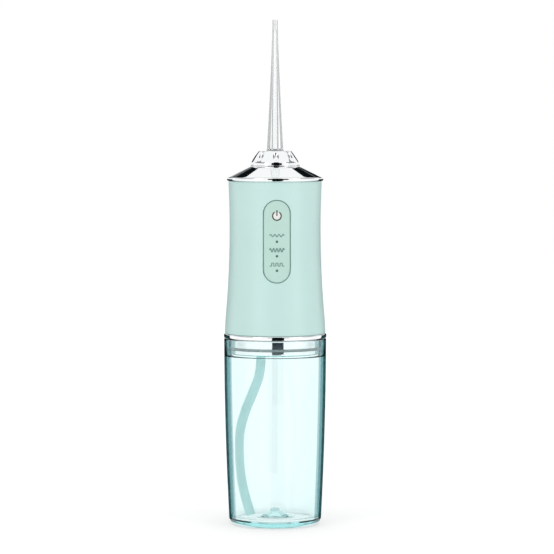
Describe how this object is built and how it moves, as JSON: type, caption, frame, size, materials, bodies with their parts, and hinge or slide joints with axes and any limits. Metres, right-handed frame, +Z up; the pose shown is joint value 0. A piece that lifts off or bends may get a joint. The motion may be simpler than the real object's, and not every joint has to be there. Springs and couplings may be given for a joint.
{
  "type": "water flosser",
  "caption": "Handheld cordless water flosser: clear pull-off tank, suction tube, waisted handle with one-key panel, geared piston pump, turning chrome knob and tapered jet nozzle.",
  "frame": {"origin": "centre of the tank's base, on the surface it stands on", "axes": "+Z up along the axis towards the nozzle, control panel faces -Y, charging port faces +Y"},
  "size_m": [0.0595, 0.0594, 0.2923],
  "materials": {
    "mint_shell": "satin",
    "mint_pad": "satin",
    "chrome_plated": "polished",
    "clear_teal": "polished",
    "clear_nozzle": "polished",
    "aqua_silicone": "satin",
    "seal_rubber": "satin",
    "pale_silicone": "satin",
    "white_nylon": "matte",
    "grey_plastic": "matte",
    "acetal": "satin",
    "steel": "brushed",
    "zinc_can": "satin",
    "ferrite": "matte",
    "copper_part": "satin",
    "cell_wrap": "satin",
    "board_green": "satin",
    "chip_black": "matte",
    "led_lens": "polished",
    "window_dark": "polished",
    "flap_rubber": "satin",
    "clear_hose": "satin"
  },
  "bodies": {
    "handle": {"handle_shell": "mint_shell", "lower_trim_ring": "chrome_plated", "neck_plug": "chrome_plated", "tank_seal_ring": "pale_silicone", "top_trim_ring": "chrome_plated", "shoulder_cap": "chrome_plated", "top_bulkhead": "white_nylon", "chassis_frame": "white_nylon", "chassis_screws": "steel", "motor_can": "zinc_can", "motor_end_cap": "grey_plastic", "motor_magnets": "ferrite", "motor_screws": "steel", "gear_axle": "steel", "battery_cell": "cell_wrap", "battery_tab": "steel", "control_board": "board_green", "board_chips": "chip_black", "mode_leds": "led_lens", "tact_switch": "chip_black", "charge_board": "board_green", "charge_socket": "steel", "socket_tongue": "chip_black", "pump_cylinder": "grey_plastic", "pump_gasket": "seal_rubber", "pump_head": "grey_plastic", "pump_screws": "steel", "inlet_valve_cap": "grey_plastic", "inlet_valve_spring": "steel", "outlet_valve_spring": "steel", "outlet_fitting": "grey_plastic", "socket_seal": "seal_rubber", "inlet_hose": "clear_hose", "suction_elbow": "grey_plastic", "suction_tube": "aqua_silicone"},
    "tank": {"water_tank": "clear_teal"},
    "turret": {"nozzle_knob": "chrome_plated", "nozzle_socket": "acetal"},
    "nozzle": {"nozzle_tip": "clear_nozzle", "nozzle_seal": "seal_rubber"},
    "button": {"button_pad": "mint_pad", "mode_windows": "window_dark"},
    "flap": {"port_flap": "flap_rubber"},
    "rotor": {"motor_shaft": "steel", "rotor_core": "steel", "commutator": "copper_part", "pinion_gear": "copper_part"},
    "gear": {"drive_gear": "acetal", "crank_pin": "steel"},
    "piston": {"drive_yoke": "acetal", "pump_piston": "acetal", "piston_seal": "seal_rubber"},
    "inlet_ball": {"inlet_valve_ball": "steel"},
    "outlet_ball": {"outlet_valve_ball": "steel"}
  },
  "joints": [
    {"name": "tank_pull", "type": "slide", "parent": "handle", "child": "tank", "axis": [0, 0, -1], "range_m": [0, 0.115]},
    {"name": "knob_turn", "type": "hinge", "parent": "handle", "child": "turret", "pos_m": [0, 0, 0.2123], "axis": [0, 0, 1], "continuous": true},
    {"name": "nozzle_pull", "type": "slide", "parent": "turret", "child": "nozzle", "axis": [0, 0, 1], "range_m": [0, 0.022]},
    {"name": "button_press", "type": "slide", "parent": "handle", "child": "button", "axis": [0, 1, 0], "range_m": [0, 0.0004], "stiffness_N_per_m": 400, "springref_m": -0.0005},
    {"name": "flap_hinge", "type": "hinge", "parent": "handle", "child": "flap", "pos_m": [0, 0.0257, 0.1845], "axis": [1, 0, 0], "range_deg": [0, 110]},
    {"name": "gear_turn", "type": "hinge", "parent": "handle", "child": "gear", "pos_m": [0, 0, 0.1584], "axis": [0, -1, 0], "range_deg": [-70, 70]},
    {"name": "motor_turn", "type": "hinge", "parent": "handle", "child": "rotor", "pos_m": [0, -0.007, 0.1484], "axis": [0, 0, 1], "range_deg": [-270, 270]},
    {"name": "piston_stroke", "type": "slide", "parent": "handle", "child": "piston", "axis": [0, 0, 1], "range_m": [-0.00323, 0.00323]},
    {"name": "inlet_ball_lift", "type": "slide", "parent": "handle", "child": "inlet_ball", "axis": [0, 0, 1], "range_m": [0, 0.0005], "stiffness_N_per_m": 20, "springref_m": -0.0005, "deforming": ["inlet_valve_spring"]},
    {"name": "outlet_ball_lift", "type": "slide", "parent": "handle", "child": "outlet_ball", "axis": [0, 0, 1], "range_m": [0, 0.0005], "stiffness_N_per_m": 20, "springref_m": -0.0005, "deforming": ["outlet_valve_spring"]}
  ],
  "couplings": [
    {"joint": "motor_turn", "follows": "gear_turn", "ratio": -3.7778},
    {"joint": "piston_stroke", "follows": "gear_turn", "m_per_rad": 0.00264}
  ]
}
